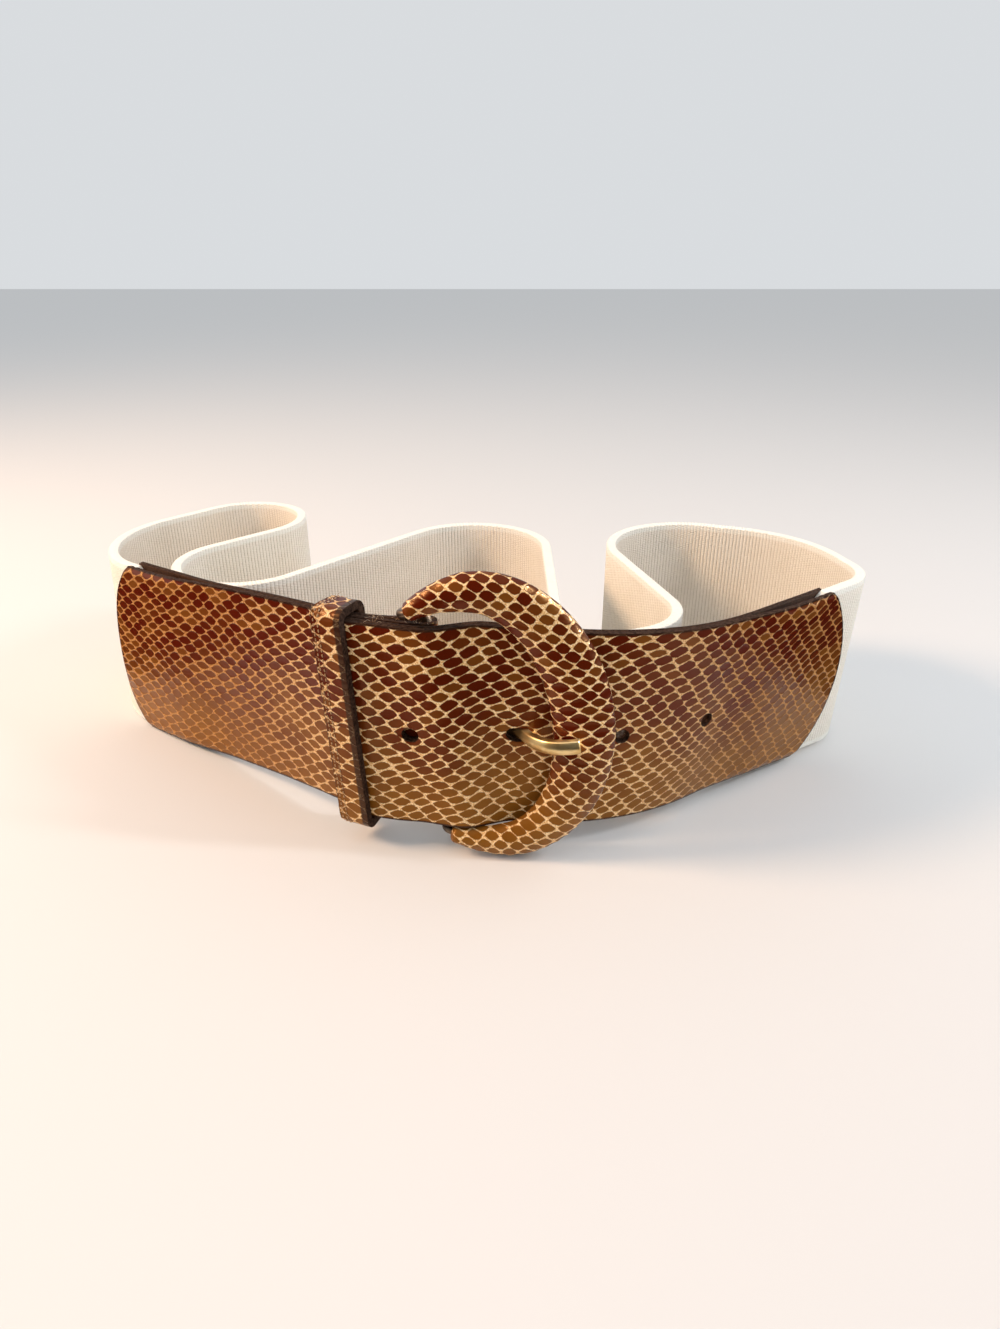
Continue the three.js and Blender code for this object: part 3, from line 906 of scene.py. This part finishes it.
def keeper_path(share, proud):
    """Out and up at a share of the way round, and the length walked on the outside"""
    half_out = keeper_half_out - keeper_corner
    half_up = keeper_half_up - keeper_corner
    quarter = (keeper_corner + keeper_thickness) * math.pi / 2
    legs = [(half_up, half_out, half_up, 0), (quarter, half_out, half_up, 1),
            (2 * half_out, -half_out, half_up, 1), (quarter, -half_out, half_up, 2),
            (2 * half_up, -half_out, -half_up, 2), (quarter, -half_out, -half_up, 3),
            (2 * half_out, half_out, -half_up, 3), (quarter, half_out, -half_up, 4),
            (half_up, half_out, 0, 4)]
    rows = np.array([(0, half_out, 0, 0), *legs])
    stops = np.cumsum(rows[:, 0])
    walked = share * stops[-1]
    core_out, core_up, quarters = (np.interp(walked, stops, rows[:, k]) for k in (1, 2, 3))
    radius = keeper_corner + proud
    out = core_out + radius * np.cos(quarters * math.pi / 2) + (keeper_front - keeper_back) / 2
    return out, core_up + radius * np.sin(quarters * math.pi / 2), walked


def keeper_place(across, share, proud):
    """Points and walked length, with across measured from the edge near the buckle"""
    out, up, walked = keeper_path(share, proud)
    along = -keeper_reach - across - math.tan(keeper_slant) * up
    height = middle_height(np.array(-keeper_reach)) + up
    return place(along, out, height), walked


print("the keeper is", round(2 * keeper_half_up / mm, 1), "mm high inside")

# %% Make the keeper
# The dark lap on the keeper's face is partly edge paint and partly painted shade, widened to stand
# for the shadow beside that edge.
keeper_paint_and_shade_lap = 1.9 * mm
keeper_paint_fade = 0.7 * mm
keeper_flat_edge = 1.4 * mm
keeper_thin_lap = 0.35 * mm
keeper_pattern_start = 7 * mm
keeper_softness = 0.5 * mm
keeper_grooves = (0.8 * mm, 1.9 * mm)
groove_depth = 0.2 * mm
groove_half = 0.45 * mm


def keeper_shape(column, row):
    across = column * keeper_width
    _, walked = keeper_place(across, row, keeper_thickness)
    pattern = count_plates(across + keeper_pattern_start, walked, strap_hide)
    to_groove = np.minimum(*(np.abs(keeper_width - groove - across) for groove in keeper_grooves))
    unpainted = np.maximum(across - keeper_paint_and_shade_lap + keeper_paint_fade, 0)
    edge = np.minimum(unpainted, keeper_width - across)
    relief = emboss(pattern) * ease((across - keeper_flat_edge) / mm)
    groove = groove_depth * (1 - ease(to_groove / groove_half))
    points, _ = keeper_place(across, row, keeper_thickness + relief - groove)
    return points, pattern, edge + keeper_thin_lap


keeper_leather = bend_into_place(flat_grid(24, 320), "keeper_leather", keeper_shape,
                                 flip=True, closed=True)
thicken(keeper_leather, keeper_thickness, keeper_softness, 3)
dress(keeper_leather, scale_leather, edge_paint, lining_leather)
settle(keeper_leather, "scale_leather", "keeper")

# %% [markdown]
# ## Crescent buckle
# A metal crescent covered in the same leather. Its section is a low dome in front and nearly
# flat behind, and the leather is wrapped over it from the front, so the pattern is measured
# outwards from the crown and meets itself in a seam behind.

# %% Leather round the section
cap_length = horn_tip / 3
cap_share = 0.02
horn_slim = 0.7
relief_ends = -0.1
relief_fade = 0.4
far_from_edges = 5 * mm


def wrap_length(swing, half, slim, samples=24):
    """Length of leather from the crown of the dome round to a point of the section"""
    steps = np.linspace(0, 1, samples)[:, None]
    angle = steps * np.abs(swing)
    depth = np.where(np.cos(angle) > 0, ring_front, ring_back) * slim
    speed = np.hypot(half * np.cos(angle), depth * np.sin(angle))
    return np.sign(swing) * np.abs(swing) * speed.mean(0)


print("the horns' caps are", round(cap_length / mm, 2), "mm long")


# %% Make the crescent
def ring_shape(column, row):
    angle = between(-horn_angle, horn_angle, np.clip(
        (column - cap_share) / (1 - 2 * cap_share), 0, 1))
    into_cap = np.clip(np.maximum(cap_share - column, column - 1 + cap_share) / cap_share, 0, 1)
    size = np.sqrt(np.maximum(0, 1 - into_cap**2))
    point, outward = ring_middle(angle)
    onward = np.stack([-outward[:, 1], outward[:, 0]], -1)
    point = point + onward * (np.sign(column - 0.5) * cap_length * into_cap)[:, None]
    band = ring_band(angle)
    slim = np.minimum(1, between(horn_slim, 1, band / band_narrow))
    swing = (row - 0.5) * turn
    walked = wrap_length(swing, band / 2, slim) * size
    flat = point + outward * walked[:, None]
    level = flat[:, 0] * math.cos(ring_roll) - flat[:, 1] * math.sin(ring_roll)
    upright = flat[:, 0] * math.sin(ring_roll) + flat[:, 1] * math.cos(ring_roll)
    pattern = count_plates(level, upright, ring_hide)
    depth = np.where(np.cos(swing) > 0, ring_front, ring_back) * slim * size
    relief = emboss(pattern) * ease((np.cos(swing) - relief_ends) / relief_fade)
    across = (band / 2 * size + relief * size) * np.sin(swing)
    forward = (depth + relief * size) * np.cos(swing)
    middle = point + outward * across[:, None]
    spots = np.stack([middle[:, 0], -forward, middle[:, 1], np.ones_like(forward)], -1)
    return (spots @ np.array(buckle_frame).T)[:, :3], pattern, far_from_edges


covered_crescent = bend_into_place(flat_grid(400, 72), "covered_crescent", ring_shape,
                                   closed=True)
dress(covered_crescent, scale_leather)
settle(covered_crescent, "scale_leather", "buckle_ring")


# %% [markdown]
# ## Wire bar and prong
# These two solids already have the right shape, only with flat facets. A copy is welded, its
# triangles are joined to quads and a Subdivision Surface rounds it, with creases where an edge
# is really cut square. Both metals share one node group of fine scratches and stains: the brass
# is polished and little worn, and the wire is dull.

# %% Worn metal group
def build_wear_group():
    tree, given, result = new_group(
        "Worn metal",
        {"Place": vector, "Bright": colour, "Worn": colour, "Roughness": number, "Wear": number},
        {"Colour": colour, "Roughness": number, "Scratch": number})
    stretched = add(tree, "ShaderNodeMapping",
                    {"Vector": given["Place"], "Scale": (1.0, 6.0, 6.0)}).outputs[0]
    scratch = noise(tree, stretched, 700.0, 4.0)
    stain = ramp(tree, noise(tree, given["Place"], 260.0), 0.45, 0.7)
    polished = maths(tree, "SUBTRACT", given["Roughness"], times(tree, given["Wear"], 0.5))
    scratched = plus(tree, given["Roughness"], given["Wear"])
    feed(tree, result, Colour=blend(tree, stain, given["Bright"], given["Worn"]),
         Roughness=ramp(tree, scratch, 0.3, 0.7, polished, scratched), Scratch=scratch)
    return tree


wear_group = build_wear_group()
print("worn metal group:", len(wear_group.nodes), "nodes")


# %% Metals
def worked_metal(name, bright, worn, roughness, wear):
    material, tree, shader = new_material(name, roughness, metallic=1.0)
    spot = add(tree, "ShaderNodeTexCoord").outputs["Object"]
    metal = use_group(tree, wear_group, {"Place": spot, "Bright": bright, "Worn": worn,
                                         "Roughness": roughness, "Wear": wear})
    feed(tree, shader, Base_Color=metal["Colour"], Roughness=metal["Roughness"],
         Normal=bump(tree, wear, 0.03 * mm, metal["Scratch"]))
    return material


brass = worked_metal("polished brass", (0.88, 0.68, 0.34, 1), (0.72, 0.48, 0.19, 1), 0.36, 0.05)
dull_wire = worked_metal("dull wire", (0.2, 0.15, 0.11, 1), (0.09, 0.06, 0.045, 1), 0.4, 0.2)
print("metals:", brass.name, "and", dull_wire.name)


# %% Round the bar and the prong
cut_square = math.radians(60)
flat_enough = math.radians(25)
crease_strength = 0.7


def rounded_copy(name, node, finish, grow):
    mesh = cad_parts[node].data.copy()
    mesh.name = name
    bm = bmesh.new()
    bm.from_mesh(mesh)
    bmesh.ops.remove_doubles(bm, verts=bm.verts, dist=weld_distance)
    bmesh.ops.join_triangles(bm, faces=bm.faces, angle_face_threshold=flat_enough,
                             angle_shape_threshold=cut_square)
    crease = bm.edges.layers.float.new("crease_edge")
    for edge in bm.edges:
        if len(edge.link_faces) == 2 and edge.calc_face_angle() > cut_square:
            edge[crease] = crease_strength
    for face in bm.faces:
        face.smooth = True
    bm.normal_update()
    for vert in bm.verts:
        vert.co += vert.normal * grow
    bm.to_mesh(mesh)
    bm.free()
    mesh.materials.clear()
    piece = stand(name, mesh)
    dress(piece, finish)
    smooth = piece.modifiers.new("rounding", "SUBSURF")
    smooth.levels = 2
    smooth.render_levels = 2
    return piece


wire_bar = rounded_copy("wire_bar", "buckle_bar", dull_wire, 0.06 * mm)
settle(wire_bar, "wire", "buckle_bar")
brass_prong = rounded_copy("brass_prong", "prong", brass, 0.3 * mm)
settle(brass_prong, "brass", "prong")

# %% [markdown]
# ## Elastic webbing
# The elastic stands in fine upright ribs once it relaxes, and the yarn crosses them in short
# dashes. Both are only a tenth of a millimetre deep, so they are bump in the material, and the
# mesh is the plain band.

# %% Woven elastic group
rib_pitch = 1.15 * mm
dash_pitch = 0.8 * mm


def build_weave_group():
    tree, given, result = new_group(
        "Woven elastic", {"Place": vector}, {"Yarn": number, "Height": number})
    fuzz = noise(tree, given["Place"], 1400.0, 3.0)
    along, up, _ = add(tree, "ShaderNodeSeparateXYZ", {0: given["Place"]}).outputs
    column = maths(tree, "DIVIDE", along, rib_pitch)
    shift = times(tree, maths(tree, "FLOOR", column), 0.5)
    row = plus(tree, maths(tree, "DIVIDE", up, dash_pitch), shift)
    rib, dash = (maths(tree, "ABSOLUTE", maths(tree, "SINE", times(tree, count, math.pi)))
                 for count in (column, row))
    woven = times(tree, maths(tree, "POWER", rib, 0.5), plus(tree, times(tree, dash, 0.45), 0.55))
    stray = times(tree, maths(tree, "SUBTRACT", fuzz, 0.5), 0.7)
    feed(tree, result, Yarn=plus(tree, woven, stray),
         Height=plus(tree, woven, times(tree, fuzz, 0.5)))
    return tree


weave_group = build_weave_group()
print("woven elastic group:", len(weave_group.nodes), "nodes")

# %% Cream elastic
clean_yarn = (0.93, 0.87, 0.77, 1)
worn_yarn = (0.89, 0.82, 0.71, 1)
between_yarns = (0.66, 0.59, 0.48, 1)
selvedge_yarn = (0.95, 0.92, 0.84, 1)
selvedge_width = (2.2 * mm, 1.2 * mm)


def cream_elastic():
    material, tree, shader = new_material("cream woven elastic", 0.92, Sheen_Weight=0.12,
                                          Sheen_Roughness=0.5, Specular_IOR_Level=0.08)
    laid = add(tree, "ShaderNodeUVMap", uv_map="pattern").outputs[0]
    weave = use_group(tree, weave_group, {"Place": laid})
    worn = ramp(tree, noise(tree, laid, 60.0), 0.35, 0.7)
    yarn = blend(tree, worn, clean_yarn, worn_yarn)
    surface = blend(tree, ramp(tree, weave["Yarn"], 0.15, 0.62), between_yarns, yarn)
    gap = add(tree, "ShaderNodeAttribute", attribute_name="edge_gap").outputs["Fac"]
    selvedge = ramp(tree, gap, *selvedge_width)
    feed(tree, shader, Base_Color=blend(tree, selvedge, surface, selvedge_yarn),
         Roughness=ramp(tree, weave["Yarn"], 0.0, 1.0, 0.98, 0.82),
         Normal=bump(tree, 0.9, 0.32 * mm, weave["Height"]))
    return material


webbing_finish = cream_elastic()
print("elastic:", webbing_finish.name)


# %% Make the webbing
tuck = 4 * mm
tuck_starts = 0.46
tuck_ease = 0.1
webbing_softness = 0.9 * mm


def webbing_shape(column, row):
    start = strap_reach - seam_overlap
    end = route_total - tab_reach + seam_overlap
    onward = between(start, end, column)
    along = np.where(onward > route_total / 2, onward - route_total, onward)
    overlap = np.minimum(onward - start, end - onward) / seam_overlap
    narrowed = webbing_width - tuck * (1 - ease((overlap - tuck_starts) / tuck_ease))
    up = (row - 0.5) * narrowed
    edge = narrowed / 2 - np.abs(up)
    points = place(along, webbing_thickness / 2, middle_height(along) + up)
    return points, np.stack([onward, up], -1), edge


webbing = bend_into_place(flat_grid(1800, 10), "woven_webbing", webbing_shape)
thicken(webbing, webbing_thickness, webbing_softness, 3)
dress(webbing, webbing_finish, webbing_finish, webbing_finish)
settle(webbing, "webbing", "elastic_webbing")

# %% [markdown]
# ## Stitches and loose fibres
# Small things are made last, as three joined meshes: two rows of short thread stitches in the
# keeper's grooves, the stray fibres where the fold and the keeper have worn, and the soft fuzz
# that stands on the webbing's rims. The draws are seeded, so every run gives the same ones.

# %% Small parts in batches
def gather(name, finish, slot, makers, batch=40):
    """Joins small parts made a few dozen at a time, as an operator walks over its whole mesh"""
    total = bmesh.new()
    for start in range(0, len(makers), batch):
        few = bmesh.new()
        for make in makers[start:start + batch]:
            make(few)
        mesh = mesh_from(few, name)
        total.from_mesh(mesh)
        bpy.data.meshes.remove(mesh)
    piece = stand(name, mesh_from(total, name))
    dress(piece, finish)
    settle(piece, slot)


tan_thread = grained("tan thread", (0.3, 0.15, 0.06, 1), (0.55, 0.34, 0.16, 1), 0.7,
                     2400.0, 0.05 * mm, Sheen_Weight=0.2)
print("thread:", tan_thread.name)

# %% Stitches
stitch_pitch = 1.25 * mm
stitch_size = (0.18 * mm, 0.42 * mm, 0.16 * mm)
small_step = 0.001


def stitch_maker(share, groove):
    """One short thread, long along the keeper, lying in its groove"""
    across = keeper_width - groove
    nearby = share + np.array([-small_step, small_step])
    ends, _ = keeper_place(np.array(across), nearby, keeper_thickness)
    sides, _ = keeper_place(across + np.array([0, mm]), np.array([share, share]), keeper_thickness)
    run = Vector(ends[1] - ends[0]).normalized()
    side = Vector(sides[1] - sides[0]).normalized()
    turned = Matrix((side, run, side.cross(run).normalized())).transposed().to_4x4()
    lie = Matrix.Translation(Vector(sides[0])) @ turned @ Matrix.Diagonal((*stitch_size, 1))

    def make(bm):
        made = bmesh.ops.create_uvsphere(bm, u_segments=8, v_segments=6, radius=1, matrix=lie)
        for face in {face for vert in made["verts"] for face in vert.link_faces}:
            face.smooth = True

    return make


keeper_round = keeper_path(np.array([1.0]), keeper_thickness)[2][0]
stitch_count = int(keeper_round / stitch_pitch)
gather("keeper_stitches", tan_thread, "scale_leather", [
    stitch_maker((k + 0.5) / stitch_count, groove)
    for k in range(stitch_count) for groove in keeper_grooves
])


# %% A wandering fibre
def fibre_maker(root, heading, length, draw, steps=6, thin=0.045 * mm):
    """A tapering hair of short closed cones, which wanders as it grows"""
    cones = []
    step = length / steps
    for k in range(steps):
        heading = (heading + Vector([draw.uniform(-0.5, 0.5) for _ in range(3)])).normalized()
        turned = heading.to_track_quat("Z", "Y").to_matrix().to_4x4()
        sizes = [thin * (1 - 0.6 * part / steps) for part in (k, k + 1)]
        cones.append((Matrix.Translation(root + heading * step / 2) @ turned, sizes))
        root = root + heading * step

    def make(bm):
        for lie, sizes in cones:
            bmesh.ops.create_cone(bm, cap_ends=True, segments=3, radius1=sizes[0],
                                  radius2=sizes[1], depth=step * 1.1, matrix=lie)

    return make


print("fibres wander as they grow")

# %% Loose fibres
fold_fibres = 26
keeper_fibres = 18


def fold_fibre(draw):
    """From the top of the worn fold, between the keeper and the crescent"""
    along = draw.uniform(-keeper_reach + 2 * mm, 0)
    top = middle_height(np.array(along)) + strap_width / 2
    root = Vector(place(np.array(along), np.array(draw.uniform(-1, 3) * mm), top))
    heading = Vector((draw.uniform(-1, 1), -0.3, 1))
    return fibre_maker(root, heading, draw.uniform(1, 3) * mm, draw)


def keeper_fibre(draw):
    """From the keeper's stitched edge where it turns over the top"""
    across = draw.uniform(0.6, 1) * keeper_width
    share = draw.uniform(0.2, 0.27)
    spot, _ = keeper_place(np.array([across]), np.array([share]), keeper_thickness)
    heading = Vector((draw.uniform(-1, 0.3), -0.4, 0.8))
    return fibre_maker(Vector(spot[0]), heading, draw.uniform(0.8, 2.2) * mm, draw)


fibre_draw = random.Random(7)
gather("loose_fibres", tan_thread, "scale_leather", [
    *(fold_fibre(fibre_draw) for _ in range(fold_fibres)),
    *(keeper_fibre(fibre_draw) for _ in range(keeper_fibres)),
])


# %% Fuzz on the webbing's rims
fuzz_hairs = 2400


def fuzz_maker(draw):
    """A short soft hair from the top or bottom rim, leaning off the side that it grows on"""
    onward = draw.uniform(strap_reach, route_total - tab_reach)
    along = onward - route_total * (onward > route_total / 2)
    out = draw.uniform(-0.5, 0.5) * (webbing_thickness - 0.7 * mm)
    side = draw.choice((1, 1, -1))
    rim = middle_height(along) + side * (webbing_width / 2 - 0.25 * mm)
    spots = place(np.array([along, along + mm]), out, rim)
    run = Vector(spots[1] - spots[0]).normalized()
    outward = run.cross(Vector((0, 0, 1))).normalized()
    heading = outward * (out / mm + draw.uniform(-0.4, 0.4)) + run * draw.uniform(-0.7, 0.7)
    heading.z = side if side > 0 else -0.2
    length = draw.uniform(0.35, 0.85) * mm
    return fibre_maker(Vector(spots[0]), heading.normalized(), length, draw, 2, 0.03 * mm)


fuzz_draw = random.Random(11)
cream_fluff = new_material("cream fluff", 0.95, Base_Color=(0.86, 0.83, 0.76, 1))[0]
gather("webbing_fuzz", cream_fluff, "webbing", [fuzz_maker(fuzz_draw) for _ in range(fuzz_hairs)])

# %% [markdown]
# ## Floor and light
# The belt stands on a plain pale floor. A warm soft light comes from the left and a small cool
# one from the right, where a bright strip that only gloss shows draws the glints on the crescent.
# Gloss is only as deep as what it mirrors: dark cards that only reflections see, three lying on
# the floor and one standing behind the camera, keep the upper half of the leather deep and leave
# the lower half to the pale floor.

# %% Floor
floor_half = 3.0


def stage_plane(name, half_x, half_y, centre, shade, roughness, tilt=0.0):
    bm = bmesh.new()
    bmesh.ops.create_grid(bm, x_segments=1, y_segments=1, size=1)
    bmesh.ops.scale(bm, verts=bm.verts, vec=(half_x, half_y, 1))
    bmesh.ops.rotate(bm, verts=bm.verts, cent=(0, 0, 0), matrix=Matrix.Rotation(tilt, 3, "X"))
    bmesh.ops.translate(bm, verts=bm.verts, vec=centre)
    plane = stand(name, mesh_from(bm, name))
    dress(plane, new_material(name, roughness, Base_Color=shade, Specular_IOR_Level=0)[0])
    return plane


stage_plane("floor", floor_half, floor_half, (0, 0, -0.02 * mm), (0.72, 0.72, 0.72, 1), 0.6)
card_shade = (0.01, 0.008, 0.006, 1)
for name, half_x, half_y, centre, tilt in (
        ("card in front", 0.6, 0.23, (0, -0.355, 0.5 * mm), 0),
        ("card on the left", 0.435, 0.35, (-0.575, -0.05, 0.7 * mm), 0),
        ("card on the right", 0.435, 0.35, (0.575, -0.05, 0.7 * mm), 0),
        ("standing card", 0.9, 0.5, (0, -0.6, 0.5), math.pi / 2)):
    card = stage_plane(name, half_x, half_y, centre, card_shade, 1.0, tilt)
    card.visible_camera = False
    card.visible_diffuse = False
    card.visible_shadow = False
    card.visible_transmission = False
print("floor and cards set")


# %% Lights
def soft_light(name, spot, size, power, tint, aim=(0, -20 * mm, 30 * mm)):
    data = bpy.data.lights.new(name, "AREA")
    data.shape = "RECTANGLE"
    data.size, data.size_y = size
    data.energy = power
    data.color = tint
    light = stand(name, data)
    light.location = spot
    light.rotation_euler = (Vector(aim) - Vector(spot)).to_track_quat("-Z", "Y").to_euler()
    return light


soft_light("warm key", (-0.62, -0.08, 0.52), (0.2, 0.2), 5.4, (1.0, 0.66, 0.41))
soft_light("cool side", (0.55, -0.12, 0.5), (0.03, 0.2), 1.4, (0.97, 0.98, 1.0))
soft_light("soft top", (0.05, -0.1, 0.8), (0.6, 0.6), 0.4, (1.0, 0.98, 0.95))
glint = soft_light("bright strip seen only in gloss", (0.54, -0.06, 0.46), (0.05, 0.3), 22, (1, 1, 1))
glint.visible_diffuse = False

room = bpy.data.worlds.new("pale room")
room.use_nodes = True
room_light = room.node_tree.nodes["Background"]
room_light.inputs["Color"].default_value = (0.94, 0.97, 1.0, 1)
room_light.inputs["Strength"].default_value = 0.74
bpy.context.scene.world = room
bpy.context.scene.view_settings.view_transform = "Standard"
print("lights set")
